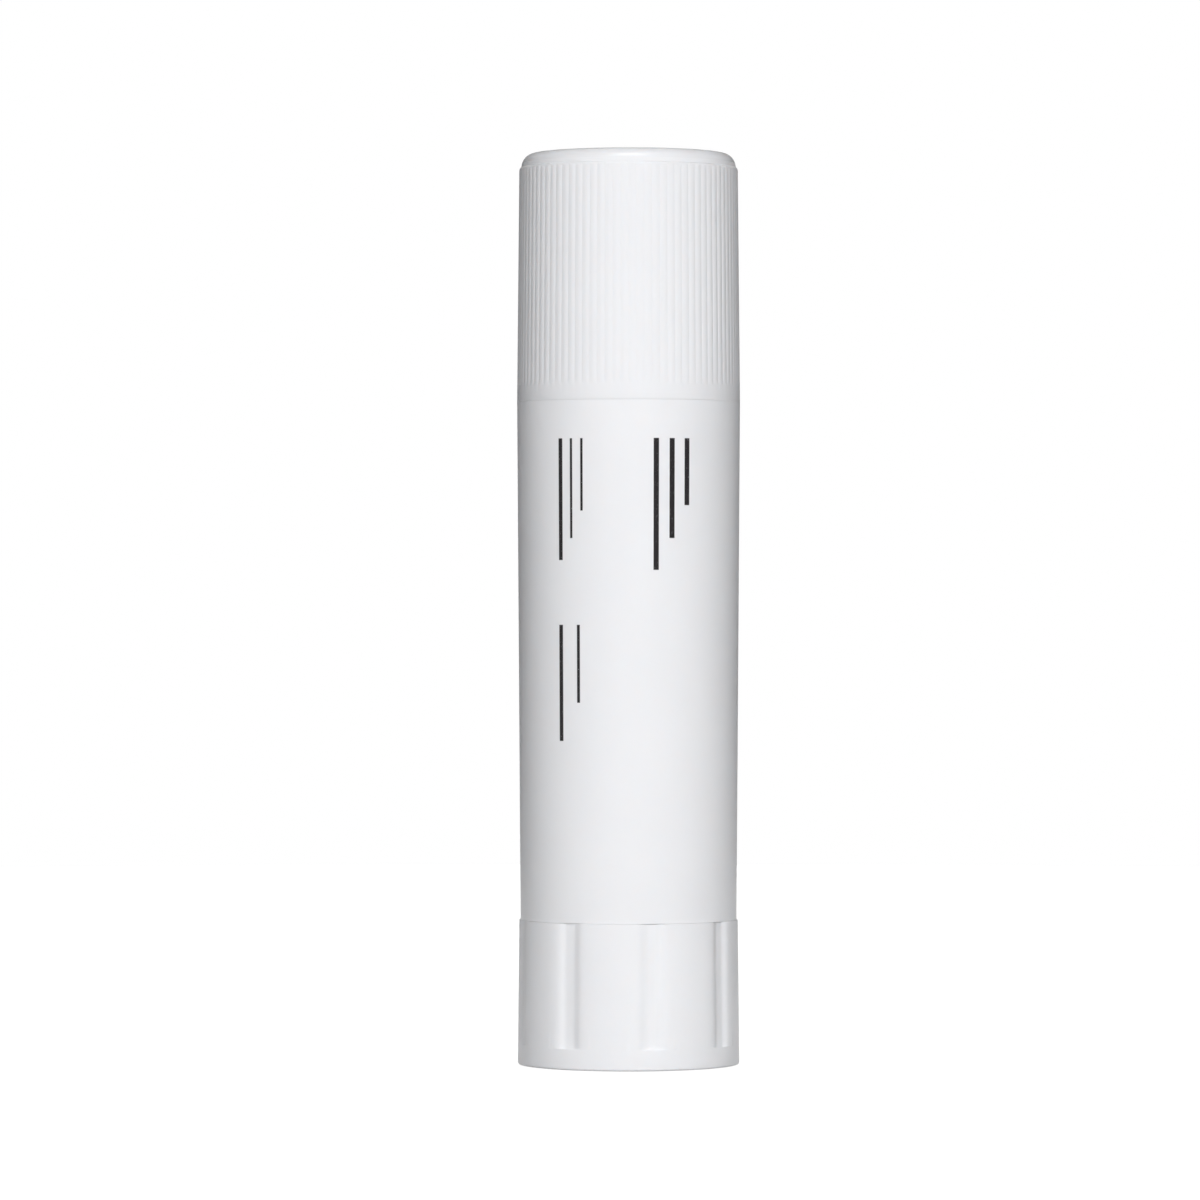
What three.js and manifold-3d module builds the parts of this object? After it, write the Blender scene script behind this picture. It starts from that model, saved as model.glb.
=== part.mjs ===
// Twist-up glue stick, standing on its knob with the cap on.
// Millimetres, +Z up, origin at the centre of the face it stands on. The front of the stick faces -Y.
//
// Turning the knob turns the screw spindle. The carrier can't turn, because four guide ribs in the
// barrel run in its notches, so it climbs the screw and pushes the glue out of the mouth.

import * as THREE from 'three';
import { mergeVertices } from 'three/addons/utils/BufferGeometryUtils.js';
import Module from 'manifold-3d';

const wasm = await Module();
wasm.setup();

// Clearances
const slideFit = 0.3; // round a piece that slides or turns inside another
const capFit = 0.25; // round the neck, inside the cap
const turnGap = 0.2; // between faces that turn past each other
const castGap = 0.2; // between the glue and the carrier that it is cast into
const seatGap = 0.1; // between faces that rest on each other
const buried = 0.3; // how far a rib or thread reaches into the wall that carries it

// Barrel
const boreRadius = 8.15;
const bodyLength = 47.85; // the bare length between the knob and the cap
const neckWall = 0.8;
const neckChamfer = 0.2;
const beadHeight = 1;
const beadProud = 0.12; // how far the neck's grip bead stands out
const beadSetback = 2.1; // from the barrel's shoulder up to the bead
const guideCount = 4;
const guidePhase = 45; // degrees
const guideWidth = 1;
const guideHeight = 0.5;
const guideSetback = 1.2; // from the top of a guide rib to the mouth
const spigotStep = 0.3; // the spigot's radius over the bore's
const spigotWall = 1.05;
const spigotDepth = 4.4;
const snapHeight = 0.8;
const snapProud = 0.4; // the ring on the spigot that holds the knob on
const floorThickness = 1.4;
const floorSetback = 0.6; // from the shoulder down to the top of the floor
const coneSetback = 0.6; // from the wide end of the bore's cone to the carrier

// Twist knob
const knobHeight = 13.2;
const knobWall = 1.35;
const knobFlare = 0.14; // the knob's foot is this much wider than its top
const knobStep = 0.12; // the knob stands this proud of the barrel
const knobFloor = 1.2;
const knobCorner = 0.4;
const baseRecess = 0.4;
const footWidth = 1.8; // the flat ring that the stick stands on
const fluteCount = 8;
const flutePhase = 12; // degrees
const fluteWidth = 2.7;
const fluteDepth = 0.38;
const fluteFoot = 1.8; // where the flute's ramp starts
const fluteRamp = 1;
const fluteRim = 0.2; // the thin rim that closes each flute at the top
const bossWall = 1.55;
const webCount = 4;
const webThickness = 0.9;
const webPhase = 0; // degrees
const webSetback = 1.5; // from the top of a web to the barrel's spigot

// Screw spindle
const screwRoot = 1.9; // radius
const threadDepth = 0.8;
const threadLead = 4;
const threadCrest = 0.7; // the ridge's width at its crest
const threadFoot = 1.5; // the ridge's width at its root
const flankFit = 0.25; // along the axis, each side of the ridge
const collarThickness = 1;
const collarStep = 1.3; // the collar's radius over the hub's
const journalRadius = 2.3; // the plain length that turns in the barrel's floor
const driveSides = 6; // a hexagon drives the spindle
const driveRadius = 2.2; // to the hexagon's corners
const driveFit = 0.15;
const driveLength = 7.6;
const screwSetback = 0.6; // from the screw's end up to the top of the hub at full travel

// Seal ring
const sealThickness = 0.6;
const sealMargin = 0.4; // from the ring's edges to the hole and to the collar's edge

// Carrier
const hubWall = 1.3;
const hubHeight = 4.4;
const cupFloor = 1.2;
const cupHeight = 6;
const cupWall = 1;
const finCount = 4;
const finThickness = 0.8;
const finHeight = 1.6;
const finPhase = 0; // degrees
const rimMargin = 0.3; // the cup's rim stops this far below the mouth

// Glue
const glueProud = 0.6; // the tip above the mouth
const glueEdgeWidth = 1.2; // the rounded edge of the tip
const glueEdgeRise = 0.6;

// Cap
const capWall = 0.92; // from the bore to the roots of the ribs
const capTaper = 0.2; // radius lost from the lip to the top of the ribs
const lipHeight = 1.15;
const lipChamfer = 0.3;
const ribCount = 88;
const ribPhase = 1.4; // degrees
const ribDepth = 0.18;
const ribLength = 20.3;
const grooveShare = 0.7; // of the ribs' pitch
const domeStep = 0.02; // from the roots of the ribs in to the foot of the dome
const domeCorner = 1.2;
const cornerRise = 1.3;
const crownRise = 0.05;
const crownThickness = 1.45;

// Inner cap
const linerFit = 0.15;
const linerWall = 0.9;
const linerHeight = 6.6;
const linerDisc = 0.9;
const tipClearance = 0.6; // above the glue's tip

// Facets round a full turn
const capBoreFacets = 44;
const roundFacets = 48;
const smallFacets = 24;
const screwFacets = 14;
const fluteFacets = 36;
const cornerFacets = 4; // in a quarter turn

// Radii, from the bore outwards
const neckRadius = boreRadius + neckWall;
const capBore = neckRadius + capFit;
const capRadius = capBore + capWall + ribDepth;
const capTopRadius = capRadius - capTaper;
const domeRadius = capTopRadius - ribDepth - domeStep;
const spigotRadius = boreRadius + spigotStep;
const skirtRadius = spigotRadius - spigotWall;
const knobBore = spigotRadius + slideFit;
const knobTopRadius = knobBore + knobWall;
const knobFootRadius = knobTopRadius + knobFlare;
const recessRadius = knobFootRadius - knobCorner - footWidth;
const barrelFootRadius = knobTopRadius - knobStep;
const carrierRadius = boreRadius - slideFit;
const slotRadius = boreRadius - guideHeight - slideFit;

// Radii, from the screw outwards
const screwCrest = screwRoot + threadDepth;
const nutRadius = screwRoot + slideFit;
const glueBore = screwCrest + slideFit;
const hubRadius = glueBore + hubWall;
const collarRadius = hubRadius + collarStep;
const coneRadius = collarRadius + collarStep + slideFit;
const journalHole = journalRadius + turnGap;
const socketRadius = driveRadius + driveFit;
const bossRadius = socketRadius + bossWall;

// Heights, from the base up
const knobInside = baseRecess + knobFloor;
const shoulder = knobHeight + turnGap;
const spigotFoot = shoulder - spigotDepth;
const floorTop = shoulder - floorSetback;
const floorFoot = floorTop - floorThickness;
const bossTop = floorFoot - turnGap;
const driveTop = bossTop + seatGap;
const driveFoot = driveTop - driveLength;
const sealTop = floorTop + sealThickness;
const collarFoot = sealTop + seatGap;
const collarTop = collarFoot + collarThickness;
const carrierFoot = collarTop + slideFit;
const coneTop = carrierFoot - coneSetback;
const hubTop = carrierFoot + hubHeight;
const cupInside = carrierFoot + cupFloor;
const cupTop = carrierFoot + cupHeight;
const seam = shoulder + bodyLength;
const lip = seam + seatGap;
const ribFoot = lip + lipHeight;
const ribTop = ribFoot + ribLength;
const crown = ribTop + cornerRise + crownRise;
const ceiling = crown - crownThickness;
const linerTop = ceiling - slideFit;
const linerFoot = linerTop - linerHeight;
const mouth = linerFoot - slideFit;
const guideTop = mouth - guideSetback;
const glueTip = mouth + glueProud;
const carrierTravel = mouth - rimMargin - cupTop;
const screwTop = hubTop + carrierTravel - screwSetback;
const glueBoreTop = screwTop + slideFit;

// Merges a geometry's shared vertices and makes it a solid.
function toSolid(geometry) {
  geometry.deleteAttribute('normal');
  geometry.deleteAttribute('uv');
  const merged = mergeVertices(geometry);
  const corners = merged.index.array;
  const triangles = [];
  for (let i = 0; i < corners.length; i += 3) {
    const [a, b, c] = corners.slice(i, i + 3);
    if (a !== b && b !== c && c !== a) {
      triangles.push(a, b, c);
    }
  }
  return new wasm.Manifold(new wasm.Mesh({
    numProp: 3,
    vertProperties: new Float32Array(merged.attributes.position.array),
    triVerts: new Uint32Array(triangles),
  }));
}

// Turns [radius, height] points about Z. The points run up the outside of the solid, and the first
// facet edge lies at the given angle to the right of the front.
function turnedGeometry(profile, facets, angle = 0) {
  const points = profile.map(([radius, height]) => new THREE.Vector2(radius, height));
  const geometry = new THREE.LatheGeometry(points, facets, THREE.MathUtils.degToRad(angle));
  return geometry.rotateX(Math.PI / 2);
}

function turned(profile, facets, angle) {
  return toSolid(turnedGeometry(profile, facets, angle));
}

function cylinder(radius, from, to, facets) {
  return turned([[0, from], [radius, from], [radius, to], [0, to]], facets);
}

// A block that lies along a radius, between two radii and two heights.
function radialBlock(inner, outer, width, from, to) {
  const geometry = new THREE.BoxGeometry(outer - inner, width, to - from);
  geometry.translate((inner + outer) / 2, 0, (from + to) / 2);
  return geometry;
}

// Copies of a geometry made at +X, turned evenly about Z. The angle is to the right of the front.
function around(count, angle, geometry) {
  const copies = [];
  for (let i = 0; i < count; i += 1) {
    const turn = THREE.MathUtils.degToRad(angle - 90 + (360 * i) / count);
    copies.push(toSolid(geometry.clone().rotateZ(turn)));
  }
  return copies;
}

function join(body, additions) {
  return additions.reduce((whole, addition) => whole.add(addition), body);
}

function cut(body, cutters) {
  return cutters.reduce((whole, cutter) => whole.subtract(cutter), body);
}

// A quarter of an ellipse, from the outside of a rounded corner to where it meets the flat above or
// below, as [radius, height] points.
function corner(radius, foot, width, height) {
  const points = [];
  for (let i = 0; i <= cornerFacets; i += 1) {
    const angle = (Math.PI / 2) * (i / cornerFacets);
    points.push([radius - width + width * Math.cos(angle), foot + height * Math.sin(angle)]);
  }
  return points;
}

// A left-handed helical ridge. Every ridge of this function lies on the same helix, so a nut cut
// with a wider ridge is in mesh with the screw.
function ridge(innerRadius, crestRadius, footWidth, crestWidth, from, to) {
  const steps = Math.ceil(((to - from) / threadLead) * screwFacets);
  const section = [
    [innerRadius, -footWidth / 2],
    [crestRadius, -crestWidth / 2],
    [crestRadius, crestWidth / 2],
    [innerRadius, footWidth / 2],
  ];
  const sides = section.length;
  const positions = [];
  const index = [];
  for (let i = 0; i <= steps; i += 1) {
    const height = from + ((to - from) * i) / steps;
    const turn = (-2 * Math.PI * (height - carrierFoot)) / threadLead;
    for (const [radius, rise] of section) {
      positions.push(radius * Math.cos(turn), radius * Math.sin(turn), height + rise);
    }
  }
  for (let i = 0; i < steps; i += 1) {
    for (let j = 0; j < sides; j += 1) {
      const a = sides * i + j;
      const b = sides * i + ((j + 1) % sides);
      index.push(a, b, a + sides, b, b + sides, a + sides);
    }
  }
  const last = sides * steps;
  index.push(0, 2, 1, 0, 3, 2);
  index.push(last, last + 1, last + 2, last, last + 2, last + 3);
  const geometry = new THREE.BufferGeometry();
  geometry.setAttribute('position', new THREE.Float32BufferAttribute(positions, 3));
  geometry.setIndex(index);
  return toSolid(geometry);
}

// The notches that the barrel's guide ribs run in, cut in the carrier and in the glue.
function guideSlots(from, to) {
  const slot = radialBlock(slotRadius, boreRadius, guideWidth + 2 * slideFit, from, to);
  return around(guideCount, guidePhase, slot);
}

function makeCapShell() {
  const outside = turned([
    [0, lip],
    [capRadius, lip],
    [capTopRadius, ribTop],
    ...corner(domeRadius, ribTop, domeCorner, cornerRise),
    [0, crown],
  ], ribCount, ribPhase);
  const inside = turned([
    [0, lip - buried],
    [capBore + lipChamfer, lip - buried],
    [capBore + lipChamfer, lip],
    [capBore, lip + lipChamfer],
    [capBore, ceiling],
    [0, ceiling],
  ], capBoreFacets);
  // Each groove is a V that leans in with the cap's taper.
  const lean = capTaper / (ribTop - lip);
  const halfWidth = (grooveShare * Math.PI * capRadius) / ribCount;
  const flare = (ribDepth + buried) / ribDepth;
  const groove = new THREE.Shape([
    new THREE.Vector2(-ribDepth, 0),
    new THREE.Vector2(buried, -halfWidth * flare),
    new THREE.Vector2(buried, halfWidth * flare),
  ]);
  const cutter = new THREE.ExtrudeGeometry(groove, { depth: ribLength + buried, bevelEnabled: false });
  cutter.rotateY(-Math.atan(lean));
  cutter.translate(capRadius - lean * lipHeight, 0, ribFoot);
  const halfPitch = 180 / ribCount; // degrees
  return cut(outside, around(ribCount, ribPhase + halfPitch, cutter)).subtract(inside);
}

function makeInnerCap() {
  const radius = capBore - linerFit;
  const discFoot = glueTip + tipClearance;
  const discTop = discFoot + linerDisc;
  return turned([
    [0, discFoot],
    [radius - linerWall, discFoot],
    [radius - linerWall, linerFoot],
    [radius, linerFoot],
    [radius, linerTop],
    [radius - linerWall, linerTop],
    [radius - linerWall, discTop],
    [0, discTop],
  ], capBoreFacets);
}

function makeBarrel() {
  const bead = seam + beadSetback;
  const snapMiddle = (spigotFoot + shoulder) / 2;
  const outside = turned([
    [0, spigotFoot],
    [spigotRadius, spigotFoot],
    [spigotRadius, snapMiddle - snapHeight / 2],
    [spigotRadius + snapProud, snapMiddle],
    [spigotRadius, snapMiddle + snapHeight / 2],
    [spigotRadius, shoulder],
    [barrelFootRadius, shoulder],
    [capRadius, seam],
    [neckRadius, seam],
    [neckRadius, bead - beadHeight / 2],
    [neckRadius + beadProud, bead],
    [neckRadius, bead + beadHeight / 2],
    [neckRadius, mouth - neckChamfer],
    [neckRadius - neckChamfer, mouth],
    [0, mouth],
  ], roundFacets);
  const bore = turned([
    [0, floorTop],
    [coneRadius, floorTop],
    [boreRadius, coneTop],
    [boreRadius, mouth + buried],
    [0, mouth + buried],
  ], roundFacets);
  const skirt = cylinder(skirtRadius, spigotFoot - buried, floorFoot, roundFacets);
  const journal = cylinder(journalHole, floorFoot - buried, floorTop + buried, smallFacets);
  const guide = radialBlock(boreRadius - guideHeight, boreRadius + buried, guideWidth, shoulder, guideTop);
  return join(cut(outside, [bore, skirt, journal]), around(guideCount, guidePhase, guide));
}

function makeTwistKnob() {
  const snapMiddle = (spigotFoot + shoulder) / 2;
  const outside = turned([
    [0, baseRecess],
    [recessRadius, baseRecess],
    [recessRadius, 0],
    ...corner(knobFootRadius, knobCorner, knobCorner, -knobCorner).reverse(),
    [knobTopRadius, knobHeight],
    [0, knobHeight],
  ], roundFacets);
  const inside = turned([
    [0, knobInside],
    [knobBore, knobInside],
    [knobBore, snapMiddle - snapHeight / 2 - slideFit],
    [knobBore + snapProud, snapMiddle],
    [knobBore, snapMiddle + snapHeight / 2 + slideFit],
    [knobBore, knobHeight + buried],
    [0, knobHeight + buried],
  ], roundFacets);
  const boss = cylinder(bossRadius, knobInside - buried, bossTop, smallFacets);
  const web = radialBlock(0, knobBore + buried, webThickness, knobInside - buried, spigotFoot - webSetback);
  const socket = cylinder(socketRadius, driveFoot - driveFit, bossTop + buried, driveSides);

  // A flute is the side of a round cutter that leans in with the knob's taper and ends in a ramp.
  const cutterRadius = (fluteWidth ** 2 / 4 + fluteDepth ** 2) / (2 * fluteDepth);
  const fluteTop = knobHeight - fluteRim;
  const profile = [
    [0, fluteFoot],
    [cutterRadius - fluteDepth, fluteFoot],
    [cutterRadius, fluteFoot + fluteRamp],
    [cutterRadius, fluteTop],
    [0, fluteTop],
  ];
  const cutter = turnedGeometry(profile, fluteFacets);
  cutter.rotateY(-Math.atan(knobFlare / knobHeight));
  cutter.translate(knobFootRadius + cutterRadius - fluteDepth, 0, 0);
  const flutes = around(fluteCount, flutePhase, cutter);
  const shell = cut(outside, [inside, ...flutes]);
  return join(shell, [boss, ...around(webCount, webPhase, web)]).subtract(socket);
}

function makeScrewSpindle() {
  const collar = turned([
    [0, driveTop],
    [journalRadius, driveTop],
    [journalRadius, collarFoot],
    [collarRadius, collarFoot],
    [collarRadius, collarTop],
    [0, collarTop],
  ], smallFacets);
  const core = cylinder(screwRoot, collarTop - buried, screwTop, screwFacets);
  const drive = cylinder(driveRadius, driveFoot, driveTop + buried, driveSides);
  const threadTop = screwTop - threadFoot / 2 - seatGap;
  const thread = ridge(screwRoot - buried, screwCrest, threadFoot, threadCrest, collarTop, threadTop);
  return join(collar, [drive, core, thread]);
}

function makeSealRing() {
  const inner = journalHole + sealMargin;
  const outer = collarRadius - sealMargin;
  return turned([
    [inner, floorTop],
    [outer, floorTop],
    [outer, sealTop],
    [inner, sealTop],
    [inner, floorTop],
  ], smallFacets);
}

function makeCarrier() {
  const cup = turned([
    [0, carrierFoot],
    [carrierRadius, carrierFoot],
    [carrierRadius, cupTop],
    [carrierRadius - cupWall, cupTop],
    [carrierRadius - cupWall, cupInside],
    [hubRadius, cupInside],
    [hubRadius, hubTop],
    [0, hubTop],
  ], roundFacets);
  const finReach = carrierRadius - cupWall + buried;
  const fin = radialBlock(
    hubRadius - buried,
    finReach,
    finThickness,
    cupInside - buried,
    cupInside + finHeight,
  );
  const nut = cylinder(nutRadius, carrierFoot - buried, hubTop + buried, smallFacets);
  const thread = ridge(
    nutRadius - buried,
    screwCrest + slideFit,
    threadFoot + 2 * flankFit,
    threadCrest + 2 * flankFit,
    carrierFoot - threadLead,
    hubTop + threadLead,
  );
  const body = join(cup, around(finCount, finPhase, fin));
  return cut(body, [nut, thread, ...guideSlots(carrierFoot - buried, cupTop + buried)]);
}

function makeGlue() {
  const cupBore = carrierRadius - cupWall - castGap;
  const column = turned([
    [0, cupInside + castGap],
    [cupBore, cupInside + castGap],
    [cupBore, cupTop + castGap],
    [carrierRadius, cupTop + castGap],
    ...corner(carrierRadius, glueTip - glueEdgeRise, glueEdgeWidth, glueEdgeRise),
    [0, glueTip],
  ], roundFacets);
  const screwHole = cylinder(glueBore, cupInside, glueBoreTop, smallFacets);
  const hubHole = cylinder(hubRadius + castGap, cupInside, hubTop + castGap, roundFacets);
  const fin = radialBlock(
    hubRadius,
    cupBore + buried,
    finThickness + 2 * castGap,
    cupInside,
    cupInside + finHeight + castGap,
  );
  return cut(column, [
    screwHole,
    hubHole,
    ...around(finCount, finPhase, fin),
    ...guideSlots(cupInside, guideTop + slideFit),
  ]);
}

// Materials
const cleanPlastic = new THREE.MeshStandardMaterial({ color: 0xf1f1f3, roughness: 0.35, metalness: 0 });
const ribbedPlastic = new THREE.MeshStandardMaterial({ color: 0xefeff2, roughness: 0.4, metalness: 0 });
const knobPlastic = new THREE.MeshStandardMaterial({ color: 0xf0f0f2, roughness: 0.35, metalness: 0 });
const linerPlastic = new THREE.MeshStandardMaterial({ color: 0xe4e6e8, roughness: 0.5, metalness: 0 });
const feedPlastic = new THREE.MeshStandardMaterial({ color: 0xe8e8e6, roughness: 0.45, metalness: 0 });
const screwPlastic = new THREE.MeshStandardMaterial({ color: 0xe6e7e8, roughness: 0.4, metalness: 0 });
const sealFoam = new THREE.MeshStandardMaterial({ color: 0xd8d8d6, roughness: 0.8, metalness: 0 });
const glueMass = new THREE.MeshStandardMaterial({ color: 0xf2efe6, roughness: 0.5, metalness: 0 });

// Gives a solid its name and material.
function piece(name, body, material) {
  const { vertProperties, triVerts } = body.getMesh();
  const geometry = new THREE.BufferGeometry();
  geometry.setAttribute('position', new THREE.BufferAttribute(vertProperties, 3));
  geometry.setIndex(new THREE.BufferAttribute(triVerts, 1));
  geometry.computeVertexNormals();
  const mesh = new THREE.Mesh(geometry, material);
  mesh.name = name;
  return mesh;
}

const cap = new THREE.Group();
cap.add(piece('cap_shell', makeCapShell(), ribbedPlastic));
cap.add(piece('inner_cap', makeInnerCap(), linerPlastic));

const body = new THREE.Group();
body.add(piece('barrel', makeBarrel(), cleanPlastic));
body.add(piece('seal_ring', makeSealRing(), sealFoam));

const drive = new THREE.Group();
drive.add(piece('twist_knob', makeTwistKnob(), knobPlastic));
drive.add(piece('screw_spindle', makeScrewSpindle(), screwPlastic));

const feed = new THREE.Group();
feed.add(piece('carrier', makeCarrier(), feedPlastic));
feed.add(piece('glue', makeGlue(), glueMass));

const glueStick = new THREE.Group();
glueStick.add(cap, body, drive, feed);

export default glueStick;
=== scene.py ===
import math

import bpy
import numpy as np
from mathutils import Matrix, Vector


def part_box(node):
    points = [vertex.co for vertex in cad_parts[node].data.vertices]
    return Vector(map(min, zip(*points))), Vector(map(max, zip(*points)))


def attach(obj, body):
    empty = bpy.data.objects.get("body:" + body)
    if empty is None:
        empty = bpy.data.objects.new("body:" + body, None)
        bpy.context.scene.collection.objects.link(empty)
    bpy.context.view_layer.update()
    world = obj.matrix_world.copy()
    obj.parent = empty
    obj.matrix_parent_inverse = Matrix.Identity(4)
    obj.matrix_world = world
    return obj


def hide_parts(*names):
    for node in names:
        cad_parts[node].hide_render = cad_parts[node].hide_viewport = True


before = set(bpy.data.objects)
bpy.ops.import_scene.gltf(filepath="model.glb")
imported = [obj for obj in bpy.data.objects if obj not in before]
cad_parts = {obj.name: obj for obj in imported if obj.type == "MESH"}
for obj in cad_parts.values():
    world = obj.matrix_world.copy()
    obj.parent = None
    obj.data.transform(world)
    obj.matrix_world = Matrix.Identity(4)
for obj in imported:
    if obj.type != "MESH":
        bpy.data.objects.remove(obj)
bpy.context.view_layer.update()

# The looks of a twist-up glue stick in a white moulded case, standing on its knob with the cap on.
# Sizes in the settings are millimetres. Angles are degrees to the right of the front, which faces -Y.
mm = 0.001
tiny = 1e-6  # two lengths that differ by less are the same
sharpAngle = 38  # faces that meet at more than this stay sharp
print("frame:", ", ".join(sorted(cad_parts)))


def levelsOf(node):  # the lowest and highest level of a CAD node
    low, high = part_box(node)
    return low.z / mm, high.z / mm


# 0 at start and 1 at end, and 3 t^2 - 2 t^3 between them, where t is the share of the way
def ease(value, start, end):
    t = np.clip((value - start) / (end - start), 0, 1)
    return t * t * (3 - 2 * t)


def stepsTo(start, end, count):  # so many even steps, without the start
    return np.linspace(start, end, count + 1)[1:]


# degrees from the nearest of count directions that lie evenly round Z, the first of them at phase
def awayFrom(angle, count, phase):
    turn = (angle - phase) * count / 360
    return (turn - np.round(turn)) * 360 / count


# 1 within half the width of count lines that run up the wall, and 0 outside, with soft sides: the
# distance from a line is its angle away, in radians, times the radius
def stripes(angle, radius, count, phase, width, side):
    distance = np.abs(np.radians(awayFrom(angle, count, phase))) * radius
    return 1 - ease(distance, width / 2 - side / 2, width / 2 + side / 2)


def turnColumns(count, first=0):  # angles that lie evenly once round
    return first + np.arange(count) * 360 / count


# Corners are [radius, height], and a third number rounds one with an arc of that radius. The arc's
# centre lies on the corner's bisector, at radius / sin(half the corner), and the arc goes from the
# one side to the other as sin((1 - t) w) and sin(t w) shares of its two ends, where w is its sweep.
def outline(corners, arcSteps=6):
    stretches = []
    for i, (radius, height, *rounding) in enumerate(corners):
        here = np.array([radius, height], float)
        if not rounding:
            stretches.append(here[None])
            continue
        back = np.array(corners[i - 1][:2]) - here
        on = np.array(corners[(i + 1) % len(corners)][:2]) - here
        back, on = back / np.linalg.norm(back), on / np.linalg.norm(on)
        half = math.acos(back @ on) / 2
        middle = (back + on) / np.linalg.norm(back + on) * rounding[0] / math.sin(half)
        reach = rounding[0] / math.tan(half)
        start, end, sweep = back * reach - middle, on * reach - middle, math.pi - 2 * half
        t = np.linspace(0, 1, arcSteps + 1)[:, None]
        arc = (np.sin((1 - t) * sweep) * start + np.sin(t * sweep) * end) / math.sin(sweep)
        stretches.append(here + middle + arc)
    return np.concatenate(stretches)


# the same outline with points added, so that none is further than step from the next
def refined(path, step):
    gone = np.concatenate([[0], np.cumsum(np.hypot(*np.diff(path, axis=0).T))])
    stops = [gone[:1]]
    for start, end in zip(gone[:-1], gone[1:]):
        stops.append(stepsTo(start, end, max(1, math.ceil((end - start) / step))))
    at = np.concatenate(stops)
    return np.stack([np.interp(at, gone, path[:, 0]), np.interp(at, gone, path[:, 1])], axis=1)


# a point at radius r, height h and angle a is (r sin a, -r cos a, h): rows follow the outline
def roundZ(radius, height, angle):
    radius, height, angle = np.broadcast_arrays(radius, height, np.radians(angle))
    return np.stack([radius * np.sin(angle), -radius * np.cos(angle), height], axis=-1)


# an outline turned about Z
def turned(path, columns):
    return roundZ(path[:, :1], path[:, 1:], turnColumns(columns))


# What makes a hexagon of a circle: the middle of a side is cos 30 of the radius away, and a point at an
# angle from that middle is that over its cosine.
def hexagonal(angle):
    return math.cos(math.pi / 6) / np.cos(np.radians(awayFrom(angle, 6, 30)))


# Plates that stand along a radius. Each is a superellipse, |2u / thickness|^n + |2v / height|^n = 1,
# carried from the inner to the outer radius and closed by a point at both ends.
def plates(count, phase, inner, outer, thickness, low, high, power=14, sides=32):
    turn = np.arange(sides) * 2 * np.pi / sides
    across = np.sign(np.cos(turn)) * np.abs(np.cos(turn)) ** (2 / power) * thickness / 2
    upward = np.sign(np.sin(turn)) * np.abs(np.sin(turn)) ** (2 / power) * (high - low) / 2
    full = np.array([[0], [1], [1], [0]])
    out = np.array([[inner], [inner], [outer], [outer]])
    made = []
    for angle in np.radians(turnColumns(count, phase)):
        x = out * np.sin(angle) + full * across * np.cos(angle)
        y = full * across * np.sin(angle) - out * np.cos(angle)
        made.append(np.stack([x, y, (low + high) / 2 + full * upward], axis=-1))
    return made


# A grid's faces join its rows and close its columns into a ring. Its last row is joined to its first,
# unless one of them is a point. A row that is a point is shared, which makes triangles of its faces. The
# sum of p . (q x r) over the faces is six times the volume: where it is negative they are turned round.
def makeMesh(name, *grids):
    points, faces, total = [], [], 0
    for grid in grids:
        rows, columns = grid.shape[:2]
        corner = np.arange(rows * columns).reshape(rows, columns)
        single = np.ptp(grid, axis=1).max(axis=1) < tiny
        corner[single] = corner[single, :1]
        lower, upper = corner, np.roll(corner, -1, axis=0)
        if single[0] or single[-1]:
            lower, upper = lower[:-1], upper[:-1]
        quads = np.stack([lower, np.roll(lower, -1, 1), np.roll(upper, -1, 1), upper], axis=-1)
        quads = quads.reshape(-1, 4)
        a, b, c, d = np.moveaxis(grid.reshape(-1, 3)[quads], 1, 0)
        volume = np.sum(a * np.cross(b, c)) + np.sum(a * np.cross(c, d))
        faces.append((quads if volume > 0 else quads[:, ::-1]) + total)
        points.append(grid.reshape(-1, 3))
        total += rows * columns
    points, faces = np.concatenate(points), np.concatenate(faces)
    kept = faces != np.roll(faces, 1, axis=1)
    used, index = np.unique(faces[kept], return_inverse=True)
    starts = np.concatenate([[0], np.cumsum(kept.sum(axis=1))[:-1]])
    mesh = bpy.data.meshes.new(name)
    mesh.vertices.add(len(used))
    mesh.vertices.foreach_set("co", (points[used] * mm).ravel())
    mesh.loops.add(len(index))
    mesh.loops.foreach_set("vertex_index", index.astype(np.int32).ravel())
    mesh.polygons.add(len(starts))
    mesh.polygons.foreach_set("loop_start", starts.astype(np.int32))
    mesh.polygons.foreach_set("use_smooth", np.ones(len(starts), bool))
    mesh.update(calc_edges=True)
    mesh.validate()
    mesh.set_sharp_from_angle(angle=math.radians(sharpAngle))
    return mesh


def addPiece(mesh, body, node, material):
    piece = bpy.data.objects.new(mesh.name, mesh)
    bpy.context.scene.collection.objects.link(piece)
    mesh.materials.append(material)
    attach(piece, body)
    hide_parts(node)
    mesh.calc_loop_triangles()
    print(f"{piece.name}: {len(mesh.loop_triangles)} triangles, rides on {body}")


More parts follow.
